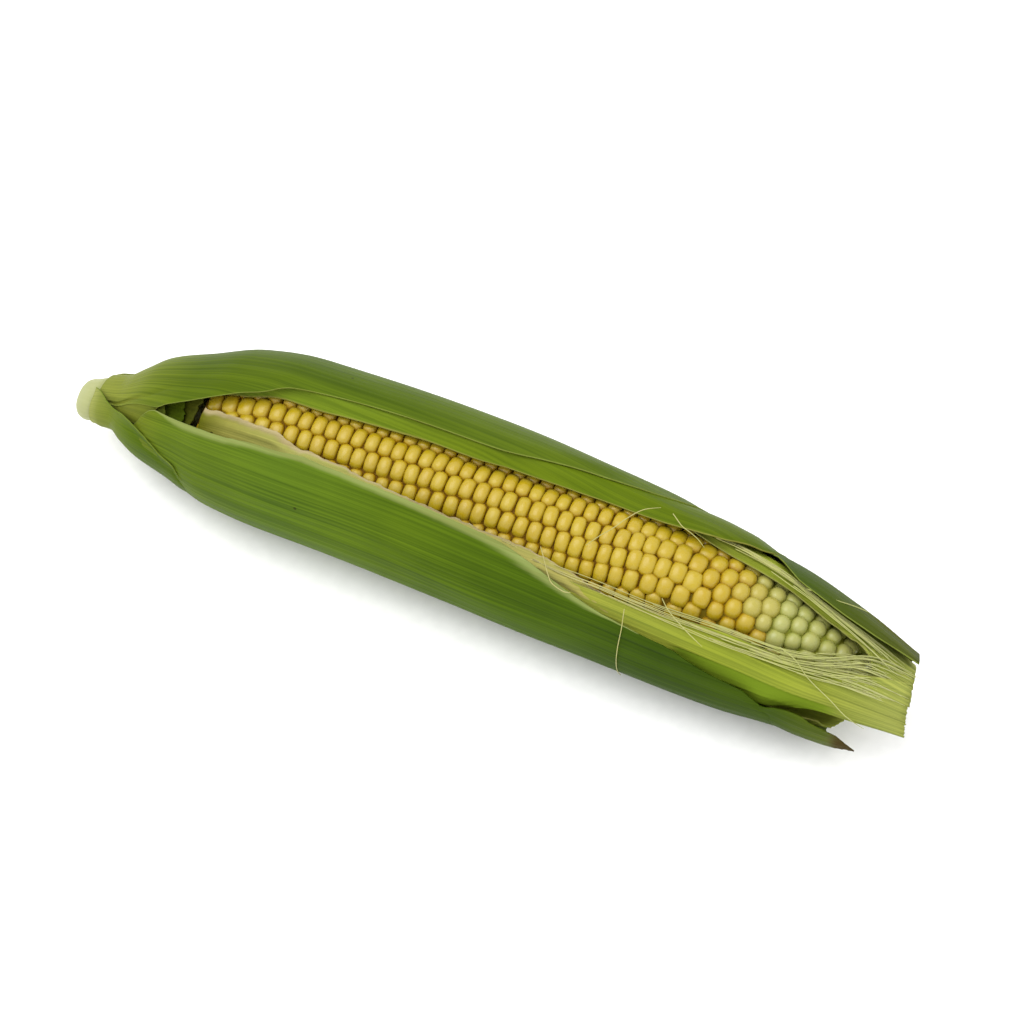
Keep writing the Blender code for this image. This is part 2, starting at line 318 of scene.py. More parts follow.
broad = fibre_noise(width=3.2, length=0.2, detail=3.0, middle=(0.33, 0.67))
fine = fibre_noise(width=0.8, length=0.12, detail=2.0, middle=(0.32, 0.68))
thread = fibre_noise(width=0.42, length=0.06, detail=1.0, middle=(0.32, 0.68))
feed(fibres, result, {"Streaks": weighted(fibres, (broad, 0.22), (fine, 0.45), (thread, 0.33)),
                      "Ridges": weighted(fibres, (fine, 0.65), (thread, 0.35))})
print("leaf_fibres: streaks for colour, ridges for relief")

# %% Soft patches and small blemishes
LARGEST_SPECK = 0.11        # a speck's radius as a share of the cell it lies in

patches, source, result = new_group("soft_patches", ["Size"], ["Patches"])
wide = add(patches, "TexNoise", {"Vector": source["Place"], "Detail": 2.0, "Roughness": 0.5,
                                 "Scale": sums(patches, "DIVIDE", 1.0, source["Size"])})
feed(patches, result, {"Patches": spread(patches, wide.outputs["Fac"], 0.32, 0.68)})

specks, source, result = new_group("specks", ["Spacing", "Share"], ["Specks"])
cells = add(specks, "TexVoronoi", {"Vector": source["Place"],
                                   "Scale": sums(specks, "DIVIDE", 1.0, source["Spacing"])})
chance = add(specks, "SeparateColor", {0: cells.outputs["Color"]})
chosen = sums(specks, "LESS_THAN", chance.outputs["Red"], source["Share"])
speck_size = times(specks, chance.outputs["Green"], LARGEST_SPECK)
dot = sums(specks, "LESS_THAN", cells.outputs["Distance"], speck_size)
feed(specks, result, {"Specks": times(specks, dot, chosen)})
print("soft_patches and specks ready")

# %% [markdown]
# ## Leaf tissue
#
# One function makes the material of every leaf. Its ground colour is a ramp along the ear, because a
# husk is yellowish near the shank and deeper green in the sun; a few ramps also carry painted shade,
# which is said where they are set. Fibres lighten and darken it. The margin takes a paler colour, and
# what the piece marks as dry takes the material's own dry colour: brown at a dead tip, and on the pale
# inner leaf just a deeper green. The gloss is low, as on a leaf's matt bloom.

# %% A material for leaves
DRY_BROWN = (112, 92, 62)
BLEMISH = tint(58, 62, 22)
BLEMISH_SHARE, BLEMISH_SPACING = 0.05, 0.007
LEAF_ROUGHNESS, LEAF_GLOSS, LEAF_RELIEF = 0.42, 0.03, 0.25
LEAF_UV = "fibres"


def ramp_along(tree, stops, station):
    """A colour ramp over (station, red, green, blue) stops, read at a station in metres."""
    ramp = add(tree, "ValToRGB", {"Fac": sums(tree, "DIVIDE", station, LAST_STATION * MM)})
    elements = ramp.color_ramp.elements
    while len(elements) < len(stops):
        elements.new(0.5)
    for element, (place, *color) in zip(elements, stops):
        element.position = place / LAST_STATION
        element.color = tint(*color)
    return ramp.outputs["Color"]


def leaf_material(name, stops, contrast, margin_color, dry_color=DRY_BROWN, spacing=0.0012):
    """Living leaf: a ramp of greens, fibres, blemishes, dry patches and a paler margin."""
    made, tree, shader = new_material(name)
    place = add(tree, "UVMap", uv_map=LEAF_UV).outputs["UV"]
    axes = add(tree, "SeparateXYZ", {0: place})
    lines = use(tree, fibres, Place=place, Spacing=spacing)
    streaks, ridges = lines["Streaks"], lines["Ridges"]
    cloud = use(tree, patches, Place=object_place(tree), Size=0.022)["Patches"]
    ground = ramp_along(tree, stops, axes.outputs["Y"])
    deep = (1 - contrast * 1.1, 1 - contrast, 1 - contrast * 0.8, 1.0)
    lit = (1 + contrast, 1 + contrast * 0.75, 1 + contrast * 1.2, 1.0)
    color = mixed(tree, weighted(tree, (streaks, 0.85), (cloud, 0.15)),
                  mixed(tree, 1.0, ground, deep, "MULTIPLY"), mixed(tree, 1.0, ground, lit, "MULTIPLY"))
    dots = use(tree, specks, Place=place, Spacing=BLEMISH_SPACING, Share=BLEMISH_SHARE)["Specks"]
    color = mixed(tree, times(tree, dots, 0.75), color, BLEMISH)
    dry = spread(tree, weighted(tree, (attribute(tree, "dry"), 1.0), (streaks, 0.35)), 0.35, 1.1)
    color = mixed(tree, dry, color, tint(*dry_color))
    frayed = weighted(tree, (attribute(tree, "margin"), 1.0), (ridges, 0.35))
    edge = spread(tree, frayed, 0.5, 1.4, 1.0, 0.0)
    darker = mixed(tree, 1.0, tint(*margin_color), (0.8, 0.76, 0.66, 1.0), "MULTIPLY")
    color = mixed(tree, edge, color, mixed(tree, ridges, darker, tint(*margin_color)))
    matt = weighted(tree, (sums(tree, "MAXIMUM", dry, edge), 0.25), (streaks, 0.12))
    feed(tree, shader, {"Base Color": color, "Roughness": sums(tree, "ADD", matt, LEAF_ROUGHNESS),
                        "Specular IOR Level": LEAF_GLOSS, "Normal": bumped(tree, ridges, LEAF_RELIEF)})
    return made


print("leaf_material ready")

# %% Greens of the husk
outer_green = leaf_material("outer_green", [
    (12, 154, 165, 72), (20, 142, 155, 60), (30, 120, 139, 46), (42, 98, 120, 33), (80, 98, 122, 36),
    (140, 105, 128, 39), (200, 104, 126, 36), (230, 80, 104, 14), (271, 96, 106, 24)],
    contrast=0.32, margin_color=(158, 174, 82), dry_color=(104, 104, 40))
# Darker towards the trimmed end: partly the leaf's deeper green, partly painted shade on the husk's lower
# front.
front_green = leaf_material("front_green", [
    (14, 130, 142, 46), (26, 124, 138, 42), (40, 111, 136, 41), (80, 105, 135, 42), (120, 102, 130, 36),
    (160, 88, 117, 24), (205, 73, 99, 15), (240, 78, 102, 14), (255, 104, 122, 40), (262, 134, 128, 76)],
    contrast=0.4, margin_color=(170, 186, 108), dry_color=(92, 78, 42))
collar_green = leaf_material("collar_green", [
    (8.5, 176, 184, 98), (11, 150, 162, 72), (16, 132, 149, 54), (24, 106, 131, 24), (32, 94, 120, 16),
    (60, 96, 120, 18)],
    contrast=0.25, margin_color=(140, 162, 66))
bright_green = leaf_material("bright_green", [
    (24, 132, 142, 52), (36, 112, 126, 46), (60, 126, 149, 46), (90, 127, 152, 45), (130, 122, 144, 38),
    (170, 112, 135, 34), (210, 108, 128, 34), (236, 92, 116, 28)],
    contrast=0.26, margin_color=(168, 170, 82))
# Darker and more olive near the shank: partly the leaves' own olive, partly painted shade in the hollow
# round the shank.
pale_green = leaf_material("pale_green", [
    (20, 96, 104, 34), (50, 120, 128, 46), (160, 188, 192, 78), (200, 178, 190, 70), (220, 172, 187, 63),
    (240, 172, 188, 66), (252, 176, 189, 74), (271, 184, 194, 94)],
    contrast=0.36, margin_color=(186, 190, 104), dry_color=(140, 168, 50), spacing=0.001)
# Dark at the strip's start: painted shade where it begins beside the hollow.
torn_green = leaf_material("torn_green", [
    (50, 120, 124, 34), (60, 176, 174, 84), (85, 192, 194, 104), (140, 198, 194, 106),
    (200, 196, 188, 98)],
    contrast=0.24, margin_color=(222, 206, 156), spacing=0.001)
print(len(bpy.data.materials), "materials so far")

# %% [markdown]
# ## Kernel skin, cob, shank and silk
#
# A kernel's crown is butter yellow and its flanks are painted amber: the glow of light that comes
# through its neighbours and the shade in the gaps between them. Each copy carries its own ripeness and a
# random tone, stored as shade. The cob between the kernels is a deep amber, partly painted shade of those
# gaps, and greener at the tip. The shank is pale and fibrous, and silk turns from straw to green towards
# the tip.

# %% Kernel and cob materials
def station_of(tree, place):
    """How far along the ear a place is, in metres from the shank's cut end on."""
    axes = add(tree, "SeparateXYZ", {0: place})
    return sums(tree, "ADD", sums(tree, "SUBTRACT", axes.outputs["X"], cad_low.x), FIRST_STATION * MM)


kernel_skin, tree, shader = new_material("kernel_skin")
place = object_place(tree)
crown = spread(tree, attribute(tree, "crown"), 0.3, 0.9)
shade = attribute(tree, "shade")
# From foot to crown: the amber towards the foot is painted glow through the neighbours and painted shade
# in the gaps.
ripe = mixed(tree, crown, tint(198, 144, 22), tint(222, 192, 42))
ripe = mixed(tree, times(tree, shade, 0.35), ripe, tint(214, 172, 34))
green = mixed(tree, crown, tint(184, 190, 80), tint(206, 208, 122))
green = mixed(tree, times(tree, shade, 0.45), green, tint(196, 202, 104))
color = mixed(tree, attribute(tree, "ripeness"), green, ripe)
mottle = use(tree, patches, Place=place, Size=0.0016)["Patches"]
grain = add(tree, "TexNoise", {"Vector": place, "Scale": 900.0, "Detail": 2.0}).outputs["Fac"]
feed(tree, shader, {"Base Color": mixed(tree, times(tree, mottle, 0.16), color, tint(226, 208, 106)),
                    "Roughness": spread(tree, mottle, 0.0, 1.0, 0.22, 0.34),
                    "Specular IOR Level": 0.4, "Normal": bumped(tree, grain, 0.12)})

# The cob shows only in the gaps between kernels; its dark amber is partly its own colour, partly painted
# shade of those gaps.
cob_flesh, tree, shader = new_material("cob_flesh")
place = object_place(tree)
mottle = use(tree, patches, Place=place, Size=0.003)["Patches"]
flesh = ramp_along(tree, [(190, 146, 106, 20), (218, 160, 146, 40), (232, 158, 168, 60)],
                   station_of(tree, place))
feed(tree, shader, {"Base Color": mixed(tree, times(tree, mottle, 0.3), flesh, tint(160, 122, 34)),
                    "Roughness": spread(tree, mottle, 0.0, 1.0, 0.6, 0.75), "Specular IOR Level": 0.1})
print("kernel_skin and cob_flesh ready")

# %% Shank and silk materials
shank_flesh, tree, shader = new_material("shank_flesh")
place = object_place(tree)
stretched = add(tree, "Mapping", {"Vector": place, "Scale": (60.0, 900.0, 900.0)}).outputs[0]
lines = add(tree, "TexNoise", {"Vector": stretched, "Scale": 1.0, "Detail": 3.0}).outputs["Fac"]
mottle = use(tree, patches, Place=place, Size=0.005)["Patches"]
ground = ramp_along(tree, [(2.2, 208, 212, 158), (5, 198, 202, 134), (9, 178, 186, 104)],
                    station_of(tree, place))
color = mixed(tree, times(tree, spread(tree, lines, 0.35, 0.65), 0.35), ground, tint(214, 216, 156))
feed(tree, shader, {"Base Color": mixed(tree, times(tree, mottle, 0.2), color, tint(186, 194, 112)),
                    "Roughness": spread(tree, lines, 0.2, 0.8, 0.45, 0.6),
                    "Normal": bumped(tree, lines, 0.12)})

silk_thread, tree, shader = new_material("silk_thread")
place = object_place(tree)
ground = ramp_along(tree, [(140, 214, 198, 122), (200, 216, 212, 118), (240, 216, 222, 118),
                           (271, 226, 230, 146)], station_of(tree, place))
strands = use(tree, patches, Place=place, Size=0.0014)["Patches"]
feed(tree, shader, {"Base Color": mixed(tree, times(tree, strands, 0.5), ground, tint(208, 204, 140)),
                    "Roughness": spread(tree, strands, 0.0, 1.0, 0.35, 0.5)})
print("shank_flesh and silk_thread ready")

# %% [markdown]
# ## The table
#
# A wide white board with a faint paper grain. It is the stage and not part of the ear.

# %% Table top
TABLE_SIZE = 8.0            # metres


def only(piece):
    """Select one object and nothing else."""
    bpy.ops.object.select_all(action="DESELECT")
    piece.select_set(True)
    bpy.context.view_layer.objects.active = piece


table_white, tree, shader = new_material("table_white")
grain = use(tree, patches, Place=object_place(tree), Size=0.004)["Patches"]
white = mixed(tree, grain, (0.9, 0.9, 0.9, 1.0), (0.93, 0.93, 0.93, 1.0))
feed(tree, shader, {"Base Color": white, "Roughness": 0.9})
bpy.ops.mesh.primitive_plane_add(size=TABLE_SIZE)
table = bpy.context.object
table.name = "table"
table.data.materials.append(table_white)
table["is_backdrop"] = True
print(f"table {TABLE_SIZE:.0f} m wide")

# %% [markdown]
# ## The shank
#
# The shank is the stalk that the ear grew on, cut off a little below the husk. It is a round body, so it
# starts as a sphere. Its rings are moved to stations along the ear, where they take the stub's radius:
# a rounded cut face, a slight waist and then the stem inside the husk that carries the cob.

# %% A round body along the ear
def round_body(name, stations, sides, radius, lift=smooth(0.0)):
    """A sphere whose rings are moved to stations along the ear, at radius(station, angle)."""
    last = len(stations) + 1
    bpy.ops.mesh.primitive_uv_sphere_add(segments=sides, ring_count=last, radius=1.0)
    piece = bpy.context.object
    piece.name = name
    for vert in piece.data.vertices:
        ring = round(math.acos(max(-1.0, min(1.0, -vert.co.z))) / math.pi * last)
        angle = math.degrees(math.atan2(vert.co.y, vert.co.x))
        station = stations[min(max(ring, 1), last - 1) - 1]
        out = radius(station, angle) if 0 < ring < last else 0.0
        vert.co = axis_point(station, angle, out, lift=lift(station))
    piece.data.update()
    return piece


def finish_piece(piece, material, node):
    """Smooth a piece, give it its material, hang it on the root body and hide the solid it stands for."""
    only(piece)
    bpy.ops.object.shade_smooth()
    piece.data.materials.clear()
    piece.data.materials.append(material)
    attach(piece, "root")
    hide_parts(node)
    print(f"{piece.name}: {len(piece.data.polygons)} faces")


# %% Shank stub
stem_radius = smooth([(2.2, 4.0), (2.5, 5.1), (3.3, 6.1), (4.6, 6.7), (6.2, 7.0), (8, 7.1), (10, 6.4),
                      (46, 5.6)])


def shank_radius(station, angle):
    """The shank's skin is slightly uneven."""
    turn = math.radians(angle)
    uneven = 0.12 * noise.noise((station / 4, math.sin(turn) * 1.6, math.cos(turn) * 1.6))
    return stem_radius(station) + uneven


SHANK_STATIONS = [2.2, 2.3, 2.5, 2.8, 3.2, 3.7, 4.3, 5.0, 5.8, 7.0, 8.2, 9.5, 13, 20, 28, 37, 46]
shank = round_body("shank_stub", SHANK_STATIONS, 48, shank_radius)
finish_piece(shank, shank_flesh, "shank")

# %% [markdown]
# ## The cob
#
# Below the kernels the cob shows only as dark amber lines. A plain round core under the crowns is enough,
# a little thinner than the kernels are deep, so that every kernel is rooted in it.

# %% Cob core
CORE_DEPTH = 2.3            # millimetres below the crowns, and never more than a share of the radius
CORE_SHARE = 0.4
CORE_STATIONS = ([47.6, 49, 51, 54, 58] + [64 + 8 * i for i in range(20)]
                 + [222, 228, 234, 240, 246, 251, 255, 259, 262])


def core_radius(station, angle):
    """The core's skin, below the kernels' crowns."""
    return cob_radius(station) - min(CORE_DEPTH, cob_radius(station) * CORE_SHARE)


core = round_body("cob_core", CORE_STATIONS, 60, core_radius, lift=cob_lift)
finish_piece(core, cob_flesh, "kernel_cob")

# %% [markdown]
# ## One kernel
#
# A kernel is a rounded block that its neighbours have pressed into shape: longer round the cob than along
# it, with a domed crown and a narrower foot. A cube cut into small faces and pulled part of the way to a
# sphere gives just that. The foot hides in the cob, so it is cut flat and closed there. With about a
# thousand kernels, each gets only a few dozen faces.

# %% Model the kernel
KERNEL_ALONG, KERNEL_ROUND, KERNEL_DEEP = 4.27, 6.5, 4.6    # millimetres
PRESSED, LOOSE = 0.7, 0.92  # how far a kernel's block goes towards a sphere, in the rows and at the tip
KERNEL_CUT = -0.12          # where the foot is cut, with the kernel's middle at 0 and its crown at 0.5
FOOT_TAPER = 0.12           # how much narrower the foot is


def kernel_pattern(roundness):
    """One kernel with its crown's middle at the origin and its foot below it."""
    bpy.ops.mesh.primitive_cube_add(size=1.0)
    kernel = bpy.context.object
    bpy.ops.object.mode_set(mode="EDIT")
    bpy.ops.mesh.select_all(action="SELECT")
    bpy.ops.mesh.subdivide(number_cuts=3)
    bpy.ops.transform.tosphere(value=roundness)
    bpy.ops.mesh.bisect(plane_co=(0.0, 0.0, KERNEL_CUT), plane_no=(0.0, 0.0, 1.0), clear_inner=True,
                        use_fill=True)
    bpy.ops.object.mode_set(mode="OBJECT")
    vertices = kernel.data.vertices
    top = max(vert.co.z for vert in vertices)
    span = max(vert.co.x for vert in vertices)
    for vert in vertices:
        width = 1 - FOOT_TAPER * ease(0.0, -KERNEL_CUT, -vert.co.z)
        vert.co.x *= KERNEL_ALONG / 2 / span * width * MM
        vert.co.y *= KERNEL_ROUND / 2 / span * width * MM
        vert.co.z = (vert.co.z - top) * KERNEL_DEEP * MM
    crown = kernel.data.attributes.new("crown", "FLOAT", "POINT")
    lowest = min(vert.co.z for vert in vertices)
    crown.data.foreach_set("value", [1 - vert.co.z / lowest for vert in vertices])
    return kernel


patterns = [kernel_pattern(PRESSED), kernel_pattern(LOOSE)]
print(f"one kernel: {len(patterns[0].data.polygons)} faces")

# %% [markdown]
# ## Rows of kernels
#
# Sweet corn sets its kernels in rows, here twenty, and each row is half a kernel out of step with the
# next. The rows twist a little round the cob. Towards the tip the cob gets too thin for twenty, and the
# rows break up into loose rings of fewer, rounder kernels. Where the two meet, the kernels are pushed
# apart a little at a time until each has its room, as they did when they grew.

# %% Where each kernel sits
ROWS = 20
ROW_START, ROW_END = 50.6, 203.0
RING_START, RING_END = 204.2, 259.5
LAST_KERNEL = 260.0         # no kernel is pushed past this station
row_twist = smooth([(47.5, 14), (75, 9.5), (105, 8), (125, 2.5), (150, -4.5), (172, -5), (190, -11),
                    (206, -18), (262.5, -40)])
dice = random.Random(5)


def kernel_along(station):
    """Kernels are longer along the ear near its two ends."""
    return KERNEL_ALONG + 1.1 * ease(176, 210, station) + 0.9 * (1 - ease(58, 84, station))


def kernel_round(station):
    """Near the tip they are a little narrower round it."""
    return KERNEL_ROUND - 0.5 * ease(200, 226, station)


kernels = []
for row in range(ROWS):
    station = ROW_START + (KERNEL_ALONG / 2 if row % 2 else 0.0) + dice.uniform(-0.4, 0.4)
    while station < ROW_END:
        loose = 0.5 + 1.5 * (1 - ease(56, 80, station)) + 1.2 * ease(176, 200, station)
        angle = row_twist(station) + 360 / ROWS * row + loose * dice.uniform(-1, 1)
        kernels.append([station, angle])
        station += kernel_along(station) * dice.uniform(0.96, 1.05)
station = RING_START
ring = 0
while station < RING_END:
    count = max(3, round(2 * math.pi * cob_radius(station) / kernel_round(station)))
    for i in range(count):
        angle = row_twist(station) + 360 / count * (i + 0.5 * (ring % 2)) + dice.uniform(-3, 3)
        kernels.append([station + dice.uniform(-0.7, 0.7), angle])
    station += kernel_along(station) * 0.9
    ring += 1
print(len(kernels), "kernels in", ROWS, "rows and", ring, "rings")

# %% Push crowded kernels apart near the tip
SETTLE_FROM = 190.0
SETTLE_STEPS = 40
SETTLE_SHARE = 0.25         # how much of an overlap one step takes away on either side


def settle(places):
    """Move the kernels near the tip apart until each has about its own room."""
    loose = [place for place in places if place[0] > SETTLE_FROM - 6]
    for _ in range(SETTLE_STEPS):
        for i, one in enumerate(loose):
            for other in loose[i + 1:]:
                along = (other[0] - one[0]) / kernel_along(one[0])
                if abs(along) > 1:
                    continue
                turn = (other[1] - one[1] + 180) % 360 - 180
                radius = cob_radius((one[0] + other[0]) / 2)
                around = math.radians(turn) * radius / kernel_round(one[0])
                gap = math.hypot(along, around)
                if not 1e-6 < gap < 1:
                    continue
                push = (1 - gap) / gap * SETTLE_SHARE
                for place, way in ((one, -1), (other, 1)):
                    if place[0] > SETTLE_FROM:
                        moved = place[0] + way * push * along * kernel_along(one[0])
                        place[0] = min(moved, LAST_KERNEL)
                        place[1] += way * push * math.degrees(around * kernel_round(one[0]) / radius)


settle(kernels)
print("kernels settled up to station", round(max(place[0] for place in kernels)))


# %% Set the kernels on the cob
LOOSE_FROM = 204            # from here on kernels may be the rounder sort
PALE_FROM = 224             # and from here on they are pale, in front a little later than at the back
THIN_COB = 5.5              # kernels get narrower where the cob's radius is less than about this


def kernel_frame(station, angle):
    """The matrix that stands a kernel on the cob, its x along the ear and its z outwards."""
    along = (cob_point(station + 0.5, angle) - cob_point(station - 0.5, angle)).normalized()
    around = (cob_point(station, angle - 1) - cob_point(station, angle + 1)).normalized()
    outward = along.cross(around).normalized()
    turned = Matrix((along, outward.cross(along), outward)).transposed()
    return Matrix.Translation(cob_point(station, angle)) @ turned.to_4x4()


def ripeness(station, angle):
    """1 for a ripe kernel and 0 for a pale one; the tip's kernels stay pale and green."""
    turn = (angle + 180) % 360 - 180
    slant = 0.1 * max(min(turn, 60), -60)
    return 1 - ease(-5.0, 6.0, station - PALE_FROM - slant + dice.uniform(-4, 4))


copies = []
for station, angle in kernels:
    pattern = patterns[station > LOOSE_FROM + dice.uniform(0, 14)]
    copy = pattern.copy()
    copy.data = pattern.data.copy()
    size = 1 + 0.12 * ease(200, 225, station) * dice.uniform(-1.0, 0.6)
    narrow = min(kernel_round(station) / KERNEL_ROUND, cob_radius(station) / THIN_COB)
    stretch = Matrix.Diagonal((kernel_along(station) / KERNEL_ALONG * size * dice.uniform(1.04, 1.12),
                               narrow * size * dice.uniform(1.06, 1.13), dice.uniform(0.97, 1.15), 1.0))
    lean = Matrix.Rotation(math.radians(dice.gauss(0, 3)), 4, "Z")
    rise = Matrix.Translation((0.0, 0.0, dice.uniform(-0.3, 0.1) * MM))
    copy.data.transform(kernel_frame(station, angle) @ rise @ lean @ stretch)
    count = len(copy.data.vertices)
    for name, value in (("ripeness", ripeness(station, angle)), ("shade", dice.random())):
        copy.data.attributes.new(name, "FLOAT", "POINT").data.foreach_set("value", [value] * count)
    bpy.context.collection.objects.link(copy)
    copies.append(copy)
for pattern in patterns:
    bpy.data.objects.remove(pattern)
only(copies[0])
for copy in copies:
    copy.select_set(True)
bpy.ops.object.join()
all_kernels = bpy.context.object
all_kernels.name = "kernels"
finish_piece(all_kernels, kernel_skin, "kernel_cob")

# %% [markdown]
# ## Leaves
#
# A leaf starts as a flat grid. Its points are moved to where the leaf's two margins and its depth put
# them, in finer steps than the solid has, and then pushed in and out a little: ribs, slow waves, and a
# margin that curls. A Solidify modifier gives the leaf its thickness. Three values stay with each point
# for the material: how far it is from the margin that shows, how dry it is, and its place on the fibres.

# %% Build a leaf
LEAF_THICKNESS = 0.4        # this and the other lengths here in millimetres
CROWDING = 1.3              # above 1, the grid's steps along the leaf are finer near the shank
FIBRE_RADIUS = 28.0         # turns an angle into a width across the fibres
RIB_WIDTH, RIB_LENGTH = 1.5, 90
WAVE_WIDTH, WAVE_LENGTH = 11, 34
SMALL_NOTCH, LARGE_NOTCH = 2.1, 7.0
FADE_IN = 25                # ribs and waves grow over this length from the leaf's start
CUT_EDGE = 0.04             # so that a margin narrower than this doesn't colour the leaf's cut edge


def none(*values):
    """A shape or mark that isn't there."""
    return 0.0


def near(distance, reach):
    """1 at no distance and almost nothing at twice the reach."""
    return math.exp(-(distance / reach) ** 2)


def leaf(name, material, node, low, high, depth, start, ends, cells, seed, shows="high",
         dense=1.5, ribs=0.1, waves=0.25, ragged=0.0, frayed=0.6, margin_width=0.35, bend=none, dry=none):
    """A leaf between two margins; bend(station, angle, from_margin) moves it outwards, in millimetres."""
    low, high, depth, margin_width, ribs = map(smooth, (low, high, depth, margin_width, ribs))
    across, along = cells
    bpy.ops.mesh.primitive_grid_add(x_subdivisions=across, y_subdivisions=along, size=1.0)
    piece = bpy.context.object
    piece.name = name
    mesh = piece.data
    margins, dryness, places = [], [], []
    for vert in mesh.vertices:
        u, v = vert.co.x + 0.5, vert.co.y + 0.5
        u = u ** dense if shows == "low" else 1 - (1 - u) ** dense
        end = ends[0] + (ends[1] - ends[0]) * u
        end += frayed * noise.noise((u * across * 0.35, seed, 3.0)) * 2
        station = start + (end - start) * v ** CROWDING
        low_angle, high_angle = low(station), high(station)
        notch = ragged * (noise.noise((station / SMALL_NOTCH, seed, 7.0)) +
                          noise.noise((station / LARGE_NOTCH, seed, 9.0)))
        if shows == "low":
            low_angle += notch
        else:
            high_angle += notch
        angle = low_angle + (high_angle - low_angle) * u
        radius = husk_radius(station)
        from_margin = math.radians(abs(angle - (low_angle if shows == "low" else high_angle))) * radius
        width = math.radians(angle) * FIBRE_RADIUS
        fade = ease(start, start + FADE_IN, station)
        out = ribs(station) * fade * 2 * noise.noise((width / RIB_WIDTH, station / RIB_LENGTH, seed))
        out += waves * fade * 2 * noise.noise((width / WAVE_WIDTH, station / WAVE_LENGTH, seed + 5))
        out += bend(station, angle, from_margin)
        deep = depth(station)
        vert.co = axis_point(station, angle, radius - deep + out, lowest=max(deep, 0.0))
        margins.append((from_margin + CUT_EDGE) / margin_width(station))
        dryness.append(dry(station, angle, from_margin))
        places.append((width * MM, station * MM))
    for key, values in (("margin", margins), ("dry", dryness)):
        mesh.attributes.new(key, "FLOAT", "POINT").data.foreach_set("value", values)
    layer = mesh.uv_layers[0]
    layer.name = LEAF_UV
    for loop in mesh.loops:
        layer.uv[loop.index].vector = places[loop.vertex_index]
    mesh.update()
    only(piece)
    bpy.ops.object.modifier_add(type="SOLIDIFY")
    wall = piece.modifiers[-1]
    wall.thickness = LEAF_THICKNESS * MM
    wall.offset = -1.0
    bpy.ops.object.modifier_apply(modifier=wall.name)
    finish_piece(piece, material, node)


print("leaf builder ready")

# %% [markdown]
# ## The outer leaves
#
# Three leaves make the outside: a short one that clasps the shank, the long one over the top and back,
# and the broad one in front whose upper margin was cut, so that it shows a strip of paler tissue. The
# front one carries the strongest ribs.

# %% Leaf that clasps the shank
def collar_bend(station, angle, from_margin):
    """A thin raised lip along the margin, and a slack bulge behind it."""
    tucked = 0.5 * (1 - ease(8.5, 11.5, station)) + 1.3 * ease(44, 52, station)
    return 0.35 * near(from_margin, 0.8) - tucked - 0.45 * near(from_margin - 2.6, 1.6)


leaf("base_leaf", collar_green, "base_husk_leaf", start=8.0, ends=(54.5, 24), depth=-0.7,
     cells=(120, 70), shows="low", frayed=0.1, bend=collar_bend, ribs=0.05, waves=0.12, seed=1.3,
     low=[(8, 12), (10, 20), (12, 30), (14, 41), (17, 49.5), (21, 51), (25, 55), (29, 60), (36, 70),
          (40, 76), (45, 79), (48, 89), (52, 99), (54.5, 107)],
     high=[(8, 300), (24, 285)])


# %% Long leaf over the top and back
crease_angle = smooth([(16, 44), (23, 31), (28, 26), (32, 20), (35, 15)])


def upper_bend(station, angle, from_margin):
    """A sharp crease near the shank, and a margin that lies close to the leaf below."""
    crease = 0.8 * near(angle - crease_angle(station), 2.6) * (1 - ease(30, 42, station))
    reach = 3.0 + 6.0 * ease(160, 186, station)
    laid = 0.95 * near(from_margin, reach) * (1 - ease(32, 37, station) + ease(50, 66, station))
    return -crease - laid


leaf("upper_leaf", outer_green, "upper_husk_leaf", start=9.5, ends=(236, 240), depth=0.0,
     cells=(110, 150), bend=upper_bend, ribs=0.05, waves=0.2, frayed=0.1, margin_width=0.2, seed=2.7,
     low=-152,
     high=[(9.5, 48), (16, 48.5), (20, 42), (23, 38), (28, 36), (34, 35.5), (37, 31), (42, 26), (48, 21),
           (55, 15), (60, 10), (66, 6), (74, -3), (92, -8), (120, -11), (139, -13), (160, -23),
           (177, -31.5), (186, -38), (192, -46), (197, -56), (203, -70), (218, -100), (240, -118)])


# %% Broad leaf in front
def front_bend(station, angle, from_margin):
    """The cut margin leans in, and near the shank the leaf swells out of the collar leaf's grip."""
    swell = 0.8 * math.exp(-((station - 36) / 7) ** 2 - ((angle - 55) / 14) ** 2)
    gripped = 1.5 * (1 - ease(22, 28.5, station)) * (1 - ease(60, 72, angle))
    laid = 0.9 * ease(222, 240, station)
    return swell - gripped - laid - 0.4 * near(from_margin, 1.5)


leaf("front_leaf", front_green, "front_husk_leaf", start=12, ends=(240, 240), depth=0.0,
     cells=(130, 150), shows="low", bend=front_bend, ragged=0.35, frayed=0.1, seed=4.1,
     low=[(12, 75), (24, 69), (28, 58), (30, 47), (32, 40.5), (34, 38.5), (36, 39), (41, 41), (50, 42),
          (59, 42.5), (66, 41.5), (71, 40.5), (79, 40), (86, 38.5), (97, 39.3), (110, 40.5), (139, 42),
          (150, 43), (158, 46), (165, 50), (173, 55), (182, 60), (194, 63.5), (208, 66), (217, 72),
          (229, 77), (237, 89), (240, 92)],
     high=200,
     margin_width=[(12, 0.02), (34, 0.3), (40, 1.2), (48, 2.2), (66, 2.0), (97, 1.8), (110, 1.9),
                   (140, 2.2), (156, 3.0), (173, 2.2), (190, 0.5), (200, 0.02), (240, 0.02)])

# %% [markdown]
# ## The leaves between
#
# Under the outer leaves lie a bright one, whose wavy margin frames the window's upper side, one that
# runs along underneath with a brown tip, a narrow one at the keel, and the long one at the back that
# reaches the trimmed end.

# %% Bright second leaf
press = smooth([(46, 0), (55, 3.0), (75, 3.8), (165, 3.6), (180, 3.2), (205, 0)])


def second_bend(station, angle, from_margin):
    """The margin lies down on the kernels, and near its end it lifts off the leaves below it."""
    pressed = press(station) * near(from_margin, 3.2)
    outside = ease(190, 208, station) * (1 - ease(214, 224, station))
    wavy = 0.3 * math.sin(station / 5.0) * ease(196, 212, station) * near(from_margin, 4.0)
    return outside + wavy - pressed - 0.3 * near(from_margin, 1.2)


